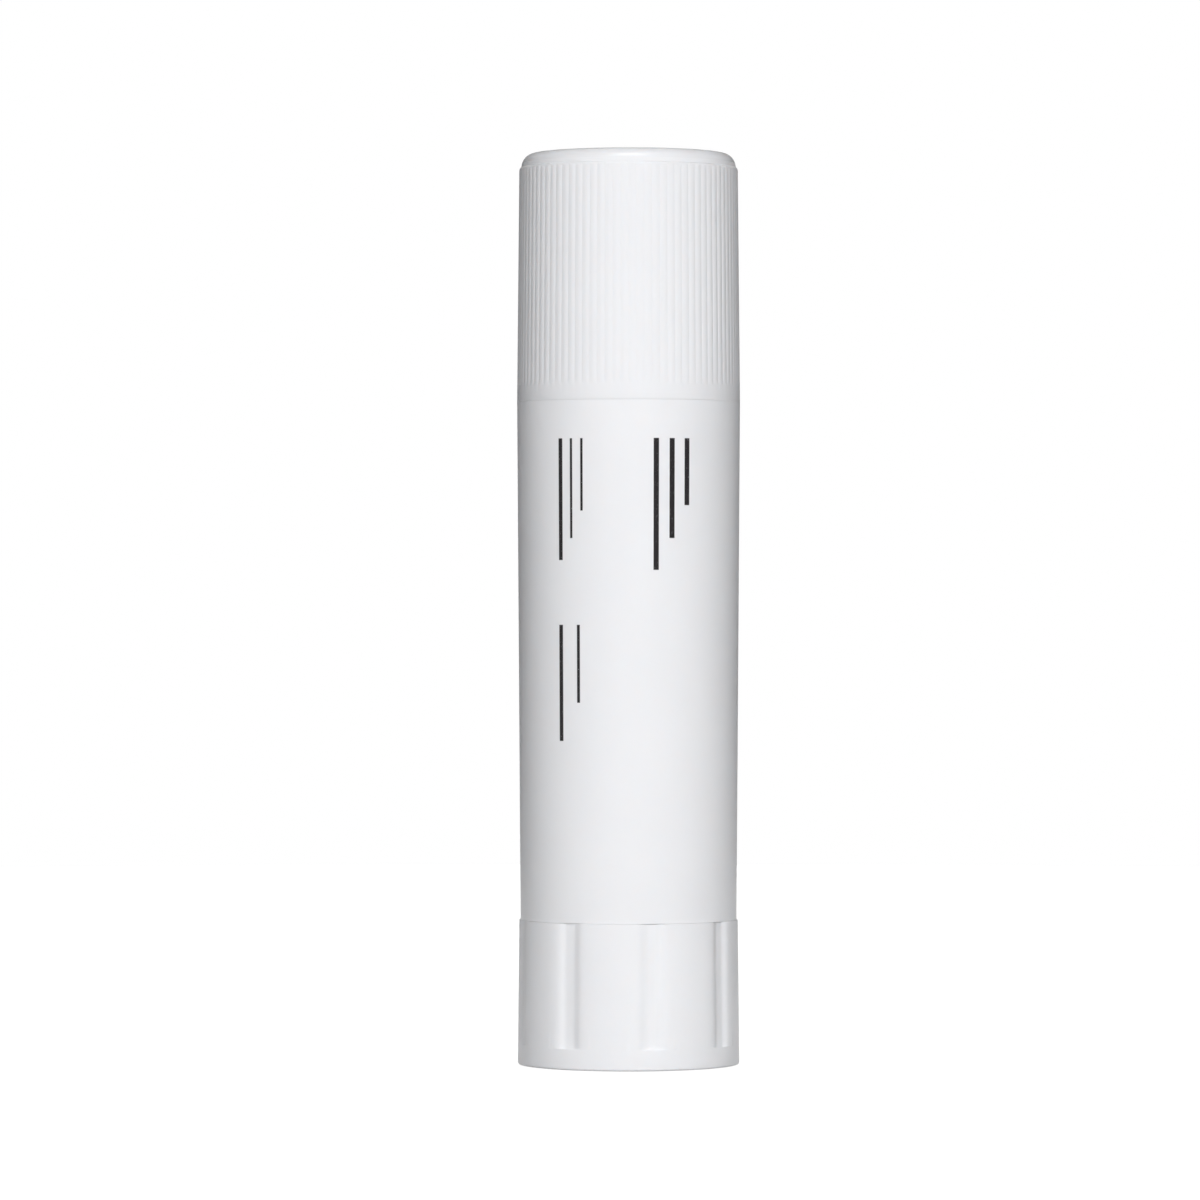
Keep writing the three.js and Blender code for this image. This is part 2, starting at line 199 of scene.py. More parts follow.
# A socket in a node tree. Sums and products of wires add Math nodes to their tree.
class Wire:
    def __init__(self, tree, socket=None):
        self.tree = tree
        self.socket = socket

    # any node: settings first, then a value or a wire for each socket
    def node(self, kind, settings, inputs, output=0):
        made = self.tree.nodes.new(kind)
        for name, value in settings.items():
            setattr(made, name, value)
        for name, value in inputs.items():
            if isinstance(value, Wire):
                self.tree.links.new(value.socket, made.inputs[name])
            else:
                made.inputs[name].default_value = value
        return Wire(self.tree, made.outputs[output])

    def output(self, name):  # another output of the same node
        return Wire(self.tree, self.socket.node.outputs[name])

    def maths(self, operation, first, second=0.0):
        return self.node("ShaderNodeMath", {"operation": operation}, {0: first, 1: second})

    def between(self, low, high):  # smoothly from 0 at low to 1 at high
        reach = {"Value": self, "From Min": low, "From Max": high}
        return self.node("ShaderNodeMapRange", {"interpolation_type": "SMOOTHSTEP"}, reach)

    def __add__(self, other):
        return self.maths("ADD", self, other)

    def __sub__(self, other):
        return self.maths("SUBTRACT", self, other)

    def __rsub__(self, other):
        return self.maths("SUBTRACT", other, self)

    def __mul__(self, other):
        return self.maths("MULTIPLY", self, other)

    def __abs__(self):
        return self.maths("ABSOLUTE", self)

    __radd__ = __add__
    __rmul__ = __mul__


# A material whose even values go straight onto the shader's own sockets. The place is in millimetres.
def startMaterial(name, even):
    material = bpy.data.materials.new(name)
    material.use_nodes = True
    shader = material.node_tree.nodes["Principled BSDF"]
    for socket, value in even.items():
        shader.inputs[socket].default_value = value
    wire = Wire(material.node_tree)
    metres = wire.node("ShaderNodeTexCoord", {}, {}, "Object")
    place = wire.node("ShaderNodeVectorMath", {"operation": "SCALE"}, {0: metres, "Scale": 1 / mm})
    return material, shader, place


def noise(place, size, detail=2.0, stretch=(1, 1, 1)):  # grains of about size, from 0 to 1
    spread = place.node("ShaderNodeMapping", {"vector_type": "POINT"}, {"Vector": place, "Scale": stretch})
    return place.node("ShaderNodeTexNoise", {}, {"Vector": spread, "Scale": 1 / size, "Detail": detail})


def blend(share, first, second):  # a colour between two
    colours = {0: share, 6: first, 7: second}
    return share.node("ShaderNodeMix", {"data_type": "RGBA"}, colours, 2)


def plug(wire, node, socket):
    wire.tree.links.new(wire.socket, node.inputs[socket])


def finish(shader, colour, rough, height):  # heights are in millimetres
    plug(colour, shader, "Base Color")
    plug(rough, shader, "Roughness")
    bumped = height.node("ShaderNodeBump", {}, {"Strength": 1.0, "Distance": mm, "Height": height})
    plug(bumped, shader, "Normal")


# Moulded plastic. Colour drifts between two near shades in clouds as wide as a finger's print, the
# gloss drifts with finer ones, and the skin has a faint orange peel and a finer grain under it. A change
# over part of the piece, such as a print, takes all three and gives them back.
def mouldedPlastic(name, look, change=None):
    material, shader, place = startMaterial(name, look["even"])
    clouds = noise(place, look["cloudSize"], detail=3.0)
    flow = noise(place, look["flowSize"], stretch=(1, 1, look["flowStretch"]))
    drift = (1 - look["flowShare"]) * clouds + look["flowShare"] * flow
    drift = drift.between(*look["driftRange"])
    colour = blend(drift, look["shade"], look["tint"])
    polish = noise(place, look["polishSize"])
    rough = look["roughness"] + look["polishDrift"] * (polish - 0.5)
    peel = noise(place, look["peelSize"], detail=1.0)
    grain = noise(place, look["grainSize"])
    height = look["peelDepth"] * peel + look["grainDepth"] * grain
    if change:
        colour, rough, height = change(place, colour, rough, height)
    finish(shader, colour, rough, height)
    return material


whiteCase = {
    "even": {
        "Specular IOR Level": 0.3,
        "Subsurface Weight": 0.4,
        "Subsurface Radius": (1.0, 0.9, 0.85),
        "Subsurface Scale": 0.2 * mm,
    },
    "tint": (0.868, 0.872, 0.892, 1),
    "shade": (0.852, 0.857, 0.880, 1),
    "roughness": 0.38,
    "cloudSize": 9,
    "flowSize": 4.5,
    "flowStretch": 0.3,
    "flowShare": 0.4,
    "driftRange": (0.3, 0.7),
    "polishSize": 2.6,
    "polishDrift": 0.08,
    "peelSize": 0.9,
    "peelDepth": 0.0022,
    "grainSize": 0.16,
    "grainDepth": 0.0006,
}

cap = {
    "boreRadius": 9.2,
    "boreChamfer": 0.3,
    "boreRound": 0.1,
    "ceilingRound": 0.4,
    "insideStep": 4,
    "lipRadius": 10.3,
    "lipBand": 1.15,  # the smooth band below the ribs
    "lipDrop": 0.215,  # the lip's edge comes this far below its solid, down to the barrel
    "lipRound": 0.005,
    "lipInnerRound": 0.05,
    "taper": 0.2,  # radius lost from the lip to the top of the ribs
    "ribs": 88,
    "firstRib": 1.75,
    "ribDepth": 0.038,
    "ribPower": 0.8,
    "runOut": 0.7,  # the length over which a groove rises out of the wall at its foot
    "shoulderWidth": 0.17,
    "shoulderHeight": 0.36,
    "domeStep": 0.02,
    "domeWidth": 1.2,
    "domeHeight": 1.3,
    "crownHeight": 0.05,
    "crownWall": 1.45,
    "ribColumns": 12,
    "runOutRows": 10,
    "ribRows": 6,
    "shoulderRows": 11,
    "domeRows": 16,
    "crownRows": 7,
    "polish": 0.2,  # how much less rough the dome is than the ribs
    "polishFrom": 0.3,  # how far up the dome its polish starts
    "polishTo": 0.45,  # and where it is full
}


# Outside, the wall is the lesser of two radii. One is a taper less the grooves, whose depth goes as
# 1 - |cos pi t|^n from crest to crest. A groove rises out of the wall at its foot as (1 - u)^3, where u
# is the share of its run-out. The other is a shoulder, a quarter ellipse. The dome's corner is a quarter
# ellipse as well, and its crown falls with the square of the radius.
def makeCap():
    s = cap
    lip, crown = levelsOf("cap_shell")
    edge = lip - s["lipDrop"]
    ribFoot = lip + s["lipBand"]
    ribTop = crown - s["domeHeight"] - s["crownHeight"]
    shoulder = ribTop - s["shoulderHeight"]
    ceiling = crown - s["crownWall"]
    inside = outline([
        [0, ceiling],
        [s["boreRadius"], ceiling, s["ceilingRound"]],
        [s["boreRadius"], lip + s["boreChamfer"], s["boreRound"]],
        [s["boreRadius"] + s["boreChamfer"], edge, s["lipInnerRound"]],
        [s["lipRadius"], edge, s["lipRound"]],
        [s["lipRadius"] - s["taper"] * s["lipBand"] / (ribTop - lip), ribFoot],
    ])[:-1]
    inside = refined(inside, s["insideStep"])

    columns = turnColumns(s["ribs"] * s["ribColumns"], s["firstRib"])
    foot = np.linspace(ribFoot, ribFoot + s["runOut"], s["runOutRows"])
    middle = stepsTo(foot[-1], shoulder, s["ribRows"])
    top = stepsTo(shoulder, ribTop, s["shoulderRows"])
    height = np.concatenate([foot, middle, top])[:, None]
    wall = s["lipRadius"] - s["taper"] * (height - lip) / (ribTop - lip)
    turn = awayFrom(columns, s["ribs"], s["firstRib"]) * s["ribs"] / 360
    groove = 1 - np.abs(np.cos(np.pi * turn)) ** s["ribPower"]
    risen = np.clip((height - ribFoot) / s["runOut"], 0, 1)
    depth = s["ribDepth"] * groove * (1 - (1 - risen) ** 3)
    t = np.clip((height - shoulder) / s["shoulderHeight"], 0, 1)
    rounded = wall - s["shoulderWidth"] * (1 - np.sqrt(1 - t * t))
    ribbed = np.minimum(wall - depth, rounded)

    domeFoot = s["lipRadius"] - s["taper"] - s["shoulderWidth"] - s["domeStep"]
    t = np.radians(np.linspace(0, 90, s["domeRows"]))
    domeRadius = domeFoot - s["domeWidth"] * (1 - np.cos(t))
    domeLevel = ribTop + s["domeHeight"] * np.sin(t)
    crownRadius = stepsTo(domeRadius[-1], 0, s["crownRows"])
    crownLevel = crown - s["crownHeight"] * (crownRadius / domeRadius[-1]) ** 2
    dome = np.stack([np.append(domeRadius, crownRadius), np.append(domeLevel, crownLevel)], axis=1)

    plain = np.ones_like(columns)
    radius = np.concatenate([inside[:, :1] * plain, ribbed, dome[:, :1] * plain])
    level = np.concatenate([inside[:, 1:], height, dome[:, 1:]])
    return makeMesh("cap_case", roundZ(radius, level, columns))


# The upper part of the dome is glossier than the ribs.
def polishDome(place, colour, rough, height):
    s = cap
    ribTop = levelsOf("cap_shell")[1] - s["domeHeight"] - s["crownHeight"]
    level = place.node("ShaderNodeSeparateXYZ", {}, {0: place}, "Z")
    onDome = level.between(ribTop + s["polishFrom"], ribTop + s["polishTo"])
    return colour, rough - s["polish"] * onDome, height


capPlastic = mouldedPlastic("ribbed_white", whiteCase, polishDome)
addPiece(makeCap(), "cap", "cap_shell", capPlastic)


barrel = {
    "footRadius": 9.98,
    "topRadius": 10.3,
    "footDrop": 0.02,
    "shoulderDrop": 0.22,  # from the lip of the cap's solid down to the shoulder
    "footRound": 0.02,
    "shoulderRound": 0.006,
    "neckRadius": 8.95,
    "neckRound": 0.1,
    "bead": 2.1,  # from the shoulder up to the grip bead
    "beadHalf": 0.5,
    "beadProud": 0.12,
    "beadRound": 0.6,
    "mouthRound": 0.25,
    "boreRadius": 8.15,
    "coneRound": 1,
    "floorRadius": 7.2,
    "floorSetback": 0.6,  # the floor of the bore lies this far below the foot of the wall
    "coneHeight": 1.4,
    "floor": 1.4,
    "journalRadius": 2.5,
    "journalRound": 0.1,
    "skirtRadius": 7.4,
    "skirtRound": 0.3,
    "spigotRadius": 8.45,
    "spigotRound": 0.2,
    "spigotInnerRound": 0.1,
    "snapProud": 0.4,
    "snapHalf": 0.4,
    "snapRound": 0.15,
    "guides": 4,
    "firstGuide": 45,
    "guideWidth": 1.0,
    "guideHeight": 0.5,
    "guideSetback": 1.2,
    "guidePower": 10,
    "columns": 240,
    "wallStep": 6,
}


# The wall is one closed outline turned about Z, and the guide ribs are plates let into the bore.
def makeBarrel():
    s = barrel
    spigot, mouth = levelsOf("barrel")
    knobTop = levelsOf("twist_knob")[1]
    shoulder = levelsOf("cap_shell")[0] - s["shoulderDrop"]
    floor = levelsOf("seal_ring")[0]
    foot = floor + s["floorSetback"]
    bead = shoulder + s["bead"]
    snap = (spigot + foot) / 2
    wall = outline([
        [s["spigotRadius"], spigot, s["spigotRound"]],
        [s["spigotRadius"], snap - s["snapHalf"]],
        [s["spigotRadius"] + s["snapProud"], snap, s["snapRound"]],
        [s["spigotRadius"], snap + s["snapHalf"]],
        [s["spigotRadius"], foot - s["footDrop"]],
        [s["footRadius"], foot - s["footDrop"], s["footRound"]],
        [s["topRadius"], shoulder, s["shoulderRound"]],
        [s["neckRadius"], shoulder, s["neckRound"]],
        [s["neckRadius"], bead - s["beadHalf"]],
        [s["neckRadius"] + s["beadProud"], bead, s["beadRound"]],
        [s["neckRadius"], bead + s["beadHalf"]],
        [s["neckRadius"], mouth, s["mouthRound"]],
        [s["boreRadius"], mouth, s["mouthRound"]],
        [s["boreRadius"], floor + s["coneHeight"], s["coneRound"]],
        [s["floorRadius"], floor],
        [s["journalRadius"], floor, s["journalRound"]],
        [s["journalRadius"], floor - s["floor"], s["journalRound"]],
        [s["skirtRadius"], floor - s["floor"], s["skirtRound"]],
        [s["skirtRadius"], spigot, s["spigotInnerRound"]],
    ])
    guides = plates(
        s["guides"],
        s["firstGuide"],
        s["boreRadius"] - s["guideHeight"],
        s["boreRadius"] + s["guideHeight"],
        s["guideWidth"],
        knobTop,
        mouth - s["guideSetback"],
        s["guidePower"],
    )
    return makeMesh("barrel_case", turned(refined(wall, s["wallStep"]), s["columns"]), *guides)


# Plain printed bars: [angle, lowest level, highest level, width]
inkBars = {
    "bars": [
        [-37.5, 46.5, 57.6, 0.42],
        [-31.0, 48.5, 57.6, 0.24],
        [-25.0, 51.0, 57.6, 0.24],
        [14.0, 45.6, 57.6, 0.50],
        [22.5, 48.5, 57.6, 0.50],
        [31.0, 51.5, 57.6, 0.50],
        [-37.5, 30.0, 40.6, 0.42],
        [-27.0, 33.5, 40.6, 0.30],
    ],
    "radius": 10.2,  # of the wall where they are printed
    "soft": 0.03,  # on either side of an edge
    "colour": (0.022, 0.019, 0.021, 1),
    "wear": 0.25,
    "wearSize": 0.12,
    "wearRange": (0.62, 0.78),
    "roughness": 0.5,
    "thickness": 0.006,
}


# A bar covers a point whose distance round the wall, angle times radius, and whose level are both
# within half its size of its middle. The bars lie apart, so what they cover is added up.
def printBars(place, colour, rough, height):
    s = inkBars
    x = place.node("ShaderNodeSeparateXYZ", {}, {0: place})
    y, level = x.output("Y"), x.output("Z")
    along = x.maths("ARCTAN2", x, 0 - y) * s["radius"]
    ink = 0
    for angle, low, high, width in s["bars"]:
        across = abs(along - math.radians(angle) * s["radius"])
        lengthwise = abs(level - (low + high) / 2)
        inAcross = 1 - across.between(width / 2 - s["soft"], width / 2 + s["soft"])
        inLength = 1 - lengthwise.between((high - low) / 2 - s["soft"], (high - low) / 2 + s["soft"])
        ink = ink + inAcross * inLength
    kept = 1 - s["wear"] * noise(place, s["wearSize"]).between(*s["wearRange"])
    colour = blend(ink * kept, colour, s["colour"])
    rough = rough + ink * (s["roughness"] - rough)
    return colour, rough, height + s["thickness"] * ink


barrelPlastic = mouldedPlastic("barrel_white", whiteCase, printBars)
addPiece(makeBarrel(), "barrel", "barrel", barrelPlastic)


knob = {
    "footRadius": 10.24,
    "topRadius": 10.1,
    "topRise": 0.17,  # the rim comes this far above its solid, up to the barrel
    "footRound": 0.22,
    "rimRound": 0.03,
    "recessRadius": 8.04,
    "recess": 0.4,
    "recessRound": 0.2,
    "standRound": 0.1,
    "flutes": 8,
    "firstFlute": 12,
    "fluteHalf": 5.2,  # degrees from the middle of a flute to where it is half as deep
    "fluteEdge": 0.02,  # the share of its depth at which a flute is cut off at its sides
    "fluteDepth": 0.33,
    "fluteFoot": 1.92,
    "ledgeRings": [0.06, 0.01],  # below the flute's foot
    "fluteRows": 8,
    "undercut": 0.2,  # how far the ledge at its foot falls inwards
    "boreRadius": 8.75,
    "boreRound": 0.1,
    "snapProud": 0.4,
    "snapHalf": 0.7,
    "snapRound": 0.15,
    "floor": 1.2,
    "floorRound": 0.3,
    "bossRadius": 3.9,
    "bossRound": 0.2,
    "bossGap": 0.2,
    "socketRadius": 2.35,
    "socketFloor": 3.55,
    "webs": 4,
    "webThickness": 0.9,
    "webSetback": 1.5,
    "webBite": 0.3,  # how far a web runs into the walls that it joins
    "columns": 480,
}


# A flute's depth goes as 1 / (1 + t^4) across it, where t is the angle from its middle over the half
# width. It is open at the rim, and ends on an undercut ledge at its foot.
def makeKnob():
    s = knob
    base, top = levelsOf("twist_knob")
    spigot, barrelFloor = levelsOf("barrel")[0], levelsOf("seal_ring")[0]
    bossTop = barrelFloor - barrel["floor"] - s["bossGap"]
    inside = base + s["recess"] + s["floor"]
    snap = (spigot + barrelFloor + barrel["floorSetback"]) / 2
    rim = top + s["topRise"]
    fluteFoot, fluteTop = s["fluteFoot"], rim - s["rimRound"]
    ledge = fluteFoot - np.array(s["ledgeRings"])
    levels = np.concatenate([ledge, np.linspace(fluteFoot, fluteTop, s["fluteRows"])])
    slope = (s["footRadius"] - s["topRadius"]) / top
    wall = np.stack([s["footRadius"] - slope * levels, levels], axis=1)
    foot = outline([
        [0, base + s["recess"]],
        [s["recessRadius"], base + s["recess"], s["recessRound"]],
        [s["recessRadius"], base, s["standRound"]],
        [s["footRadius"], base, s["footRound"]],
        wall[0],
    ])[:-1]
    inner = outline([
        wall[-1],
        [s["topRadius"], rim, s["rimRound"]],
        [s["boreRadius"], rim, s["boreRound"]],
        [s["boreRadius"], snap + s["snapHalf"]],
        [s["boreRadius"] + s["snapProud"], snap, s["snapRound"]],
        [s["boreRadius"], snap - s["snapHalf"]],
        [s["boreRadius"], inside, s["floorRound"]],
        [s["bossRadius"], inside, s["floorRound"]],
        [s["bossRadius"], bossTop, s["bossRound"]],
        [s["socketRadius"], bossTop],
        [s["socketRadius"], s["socketFloor"]],
        [0, s["socketFloor"]],
    ])[1:]
    columns = turnColumns(s["columns"])
    path = np.concatenate([foot, wall, inner])
    radius, level = path[:, :1], path[:, 1:]

    section = 1 / (1 + (awayFrom(columns, s["flutes"], s["firstFlute"]) / s["fluteHalf"]) ** 4)
    section = np.clip((section - s["fluteEdge"]) / (1 - s["fluteEdge"]), 0, 1)
    rimInside = s["topRadius"] - 2 * s["rimRound"]  # just within the rounding of the rim
    onWall = (level >= fluteFoot) & (radius > rimInside)
    inSocket = np.abs(radius - s["socketRadius"]) < tiny
    radius = np.where(inSocket, radius * hexagonal(columns), radius)
    radius = radius - onWall * section * s["fluteDepth"]
    level = level - s["undercut"] * section * (level == fluteFoot)
    webs = plates(
        s["webs"],
        0,
        s["bossRadius"] - s["webBite"],
        s["boreRadius"] + s["webBite"],
        s["webThickness"],
        inside - s["webBite"],
        spigot - s["webSetback"],
    )
    return makeMesh("knob_case", roundZ(radius, level, columns), *webs)


addPiece(makeKnob(), "knob", "twist_knob", mouldedPlastic("knob_white", whiteCase))


glue = {
    "radius": 7.85,
    "wallStep": 3,
    "cupRadius": 6.65,
    "cupHeight": 4.8,  # from the foot of the column to where it widens over the carrier
    "cupRound": 0.2,
    "edgeWidth": 1.2,
    "edgeHeight": 0.6,
    "edgeRows": 9,
    "dish": 0.08,  # how far the tip is hollow in its middle
    "dishRim": 1.0,
    "dishRows": 13,
    "boreRadius": 3.0,
    "boreRound": 0.3,
    "hubRadius": 4.5,
    "hubHeight": 3.2,
    "roof": 2.8,  # from the top of the screw's hole to the tip
    "slots": 4,
    "firstSlot": 45,
    "slotWidth": 1.6,
    "slotDepth": 0.5,
    "slotSetback": 1.5,
    "slotSide": 0.2,
    "slotReach": 0.02,  # a slot is cut in what lies this near the full radius
    "columns": 480,
}


# The column is an outline turned about Z. The corner of its tip is a quarter ellipse, the tip sinks by
# a shallow dish that goes as the square of the radius, and slots for the guides are cut in its side.
def makeGlue():
    s = glue
    foot, tip = levelsOf("glue")
    cup = foot + s["cupHeight"]
    path = outline([
        [0, tip - s["roof"]],
        [s["boreRadius"], tip - s["roof"], s["boreRound"]],
        [s["boreRadius"], foot + s["hubHeight"]],
        [s["hubRadius"], foot + s["hubHeight"]],
        [s["hubRadius"], foot],
        [s["cupRadius"], foot, s["cupRound"]],
        [s["cupRadius"], cup, s["cupRound"]],
        [s["radius"], cup, s["cupRound"]],
        [s["radius"], tip - s["edgeHeight"]],
    ])
    t = np.radians(stepsTo(0, 90, s["edgeRows"]))
    edgeRadius = s["radius"] - s["edgeWidth"] * (1 - np.cos(t))
    edgeLevel = tip - s["edgeHeight"] * (1 - np.sin(t))
    flat = stepsTo(edgeRadius[-1], 0, s["dishRows"])
    dish = s["dish"] * (1 - (flat / edgeRadius[-1]) ** 2)
    dish = dish * ease(flat, edgeRadius[-1], edgeRadius[-1] - s["dishRim"])
    end = np.stack([np.append(edgeRadius, flat), np.append(edgeLevel, tip - dish)], axis=1)
    path = np.concatenate([refined(path, s["wallStep"]), end])
    columns = turnColumns(s["columns"])
    slot = stripes(columns, s["radius"], s["slots"], s["firstSlot"], s["slotWidth"], s["slotSide"])
    radius, level = path[:, :1], path[:, 1:]
    side = (np.abs(radius - s["radius"]) < s["slotReach"]) & (level < tip - s["slotSetback"])
    return makeMesh("glue_column", roundZ(radius - s["slotDepth"] * slot * side, level, columns))


glueLook = {
    "even": {
        "Specular IOR Level": 0.45,
        "Subsurface Weight": 0.35,
        "Subsurface Radius": (1.0, 0.92, 0.8),
        "Subsurface Scale": 1.6 * mm,
    },
    "shade": (0.80, 0.785, 0.735, 1),
    "tint": (0.84, 0.83, 0.79, 1),
    "cloudSize": 5,
    "cloudRange": (0.3, 0.7),
    "speck": (0.90, 0.895, 0.87, 1),
    "speckSize": 0.35,
    "speckRange": (0.68, 0.74),
    "smearSize": 1.6,
    "smearStretch": 0.35,
    "smearHeight": 0.03,
    "poreSize": 0.25,
    "poreRange": (0.66, 0.8),
    "poreDepth": 0.012,
    "roughness": 0.34,
    "smearRoughness": 0.18,  # what the smears add to it
}


# Soft white glue: it lets light in, it is a little greasy, and its skin has wide, shallow smears.
def glueMass():
    s = glueLook
    material, shader, place = startMaterial("glue_white", s["even"])
    clouds = noise(place, s["cloudSize"], detail=3.0).between(*s["cloudRange"])
    specks = noise(place, s["speckSize"]).between(*s["speckRange"])
    colour = blend(clouds, s["shade"], s["tint"])
    colour = blend(specks, colour, s["speck"])
    smears = noise(place, s["smearSize"], detail=3.0, stretch=(1, 1, s["smearStretch"]))
    pores = noise(place, s["poreSize"], detail=1.0).between(*s["poreRange"])
    rough = s["roughness"] + s["smearRoughness"] * smears
    height = s["smearHeight"] * smears - s["poreDepth"] * pores
    finish(shader, colour, rough, height)
    return material


addPiece(makeGlue(), "carrier", "glue", glueMass())


innerCap = {
    "radius": 9.05,
    "wall": 0.9,
    "discGap": 0.6,  # from the tip of the glue up to the disc
    "disc": 0.9,
    "round": 0.15,
    "discRound": 0.25,
    "wallStep": 3,
    "columns": 160,
}


# A tube turned about Z, with a disc across it that lies just above the glue
def makeInnerCap():
    s = innerCap
    foot, top = levelsOf("inner_cap")
    disc, bore = levelsOf("glue")[1] + s["discGap"], s["radius"] - s["wall"]
    path = outline([
        [0, disc],
        [bore, disc, s["discRound"]],
        [bore, foot, s["round"]],
        [s["radius"], foot, s["round"]],
        [s["radius"], top, s["round"]],
        [bore, top, s["round"]],
        [bore, disc + s["disc"], s["discRound"]],
        [0, disc + s["disc"]],
    ])
    return makeMesh("cap_liner", turned(refined(path, s["wallStep"]), s["columns"]))


linerLook = dict(whiteCase, tint=(0.80, 0.81, 0.83, 1), shade=(0.77, 0.78, 0.81, 1), roughness=0.5)
linerPlastic = mouldedPlastic("liner_white", linerLook)
addPiece(makeInnerCap(), "cap", "inner_cap", linerPlastic)


screw = {
    "driveRadius": 2.2,
    "driveTop": 11.3,
    "driveRound": 0.15,
    "journalRadius": 2.3,
    "journalRise": 0.01,  # from the top of the hexagon up to the journal's edge
    "journalRound": 0.05,
    "collarRadius": 5.6,
    "collarFoot": 13.5,
    "collarTop": 14.5,
    "collarRound": 0.15,
    "rootRadius": 1.9,
    "rootRise": 0.02,  # from the collar up to the first ring of the rod
    "tipRound": 0.3,
    "lead": 4.0,
    "threadDepth": 0.8,
    "threadFoot": 1.5,  # the ridge's width at its foot
    "threadCrest": 0.7,
    "threadStart": 14.8,  # the level at which the thread's middle crosses +X
    "threadRise": 0.3,
    "threadEnd": 0.85,  # from the tip down to where the thread has run out
    "threadFall": 0.45,
    "step": 0.125,
    "columns": 64,
}


# How high the left-handed thread stands at a level and angle. Its middle lies where the level less the
# start, over the lead, plus the turn from +X is a whole number, and its sides fall in straight lines.
def thread(level, angle):
    s = screw
    turn = (level - s["threadStart"]) / s["lead"] + (angle - 90) / 360
    off = np.abs(turn - np.round(turn)) * s["lead"]
    return np.clip((s["threadFoot"] / 2 - off) / ((s["threadFoot"] - s["threadCrest"]) / 2), 0, 1)


# The rod is an outline turned about Z, its thread rises and falls with ease, and its drive is a hexagon.
def makeScrew():
    s = screw
    foot, top = levelsOf("screw_spindle")
    columns = turnColumns(s["columns"])
    low = outline([
        [0, foot],
        [s["driveRadius"], foot, s["driveRound"]],
        [s["driveRadius"], s["driveTop"]],
        [s["journalRadius"], s["driveTop"] + s["journalRise"], s["journalRound"]],
        [s["journalRadius"], s["collarFoot"]],
        [s["collarRadius"], s["collarFoot"], s["collarRound"]],
        [s["collarRadius"], s["collarTop"], s["collarRound"]],
        [s["rootRadius"], s["collarTop"]],
    ])
    tip = outline([
        [s["rootRadius"], top - 2 * s["tipRound"]],
        [s["rootRadius"], top, s["tipRound"]],
        [0, top],
    ])
    levels = np.arange(s["collarTop"] + s["rootRise"], tip[0, 1] - s["step"] / 2, s["step"])
    rod = np.stack([np.full_like(levels, s["rootRadius"]), levels], axis=1)
    path = np.concatenate([low, rod, tip])
    radius, level = path[:, :1], path[:, 1:]
    threadTop = top - s["threadEnd"]
    onRod = (level > s["collarTop"]) & (np.abs(radius - s["rootRadius"]) < tiny)
    onRod = onRod * ease(level, s["collarTop"], s["collarTop"] + s["threadRise"])
    onRod = onRod * (1 - ease(level, threadTop - s["threadFall"], threadTop))
    radius = np.where(level <= s["driveTop"], radius * hexagonal(columns), radius)
    radius = radius + s["threadDepth"] * thread(level, columns) * onRod
    return makeMesh("screw_rod", roundZ(radius, level, columns))


screwLook = dict(whiteCase, tint=(0.80, 0.81, 0.82, 1), shade=(0.78, 0.79, 0.80, 1), roughness=0.4)
screwPlastic = mouldedPlastic("screw_white", screwLook)
addPiece(makeScrew(), "knob", "screw_spindle", screwPlastic)


carrier = {
    "radius": 7.85,
    "wall": 1.0,
    "cupFloor": 1.2,
    "floorRound": 0.3,
    "edgeRound": 0.2,
    "slotReach": 0.3,  # a slot is cut in what lies this near the full radius
    "hubRadius": 4.3,
    "hubHeight": 4.4,
    "nutRadius": 2.2,
    "fins": 4,
    "finThickness": 0.8,
    "finHeight": 1.6,
    "finBite": 0.3,  # how far a fin runs into the walls that it joins
    "columns": 480,
}


# A cup turned about Z, with slots in its side for the guides, a threaded hub and four fins.
def makeCarrier():
    s = carrier
    foot, top = levelsOf("carrier")
    inside, hub, bore = foot + s["cupFloor"], foot + s["hubHeight"], s["radius"] - s["wall"]
    nut = np.arange(hub, foot, -screw["step"])
    path = np.concatenate([
        outline([
            [s["nutRadius"], foot],
            [s["radius"], foot, s["edgeRound"]],
            [s["radius"], top, s["edgeRound"]],
            [bore, top, s["edgeRound"]],
            [bore, inside, s["floorRound"]],
            [s["hubRadius"], inside, s["floorRound"]],
            [s["hubRadius"], hub, s["edgeRound"]],
        ]),
        np.stack([np.full_like(nut, s["nutRadius"]), nut], axis=1),
    ])
    columns = turnColumns(s["columns"])
    radius, level = path[:, :1], path[:, 1:]
    slots = stripes(
        columns, s["radius"], glue["slots"], glue["firstSlot"], glue["slotWidth"], glue["slotSide"]
    )
    outer = radius > s["radius"] - s["slotReach"]
    inNut = np.abs(radius - s["nutRadius"]) < tiny
    radius = radius - glue["slotDepth"] * slots * outer
    radius = radius + screw["threadDepth"] * thread(level, columns) * inNut
    fins = plates(
        s["fins"],
        0,
        s["hubRadius"] - s["finBite"],
        bore + s["finBite"],
        s["finThickness"],
        inside - s["finBite"],
        inside + s["finHeight"],
    )
    return makeMesh("carrier_cup", roundZ(radius, level, columns), *fins)


feedLook = dict(whiteCase, tint=(0.80, 0.80, 0.79, 1), shade=(0.77, 0.77, 0.76, 1), roughness=0.46)
carrierPlastic = mouldedPlastic("carrier_white", feedLook)
addPiece(makeCarrier(), "carrier", "carrier", carrierPlastic)


seal = {
    "inner": 2.9,
    "outer": 5.2,
    "round": 0.18,
    "columns": 96,
}


# A flat ring with rounded edges, turned about Z
def makeSeal():
    s = seal
    foot, top = levelsOf("seal_ring")
    path = outline([
        [s["inner"], foot, s["round"]],
        [s["outer"], foot, s["round"]],
        [s["outer"], top, s["round"]],
        [s["inner"], top, s["round"]],
    ])
    return makeMesh("seal_washer", turned(path, s["columns"]))


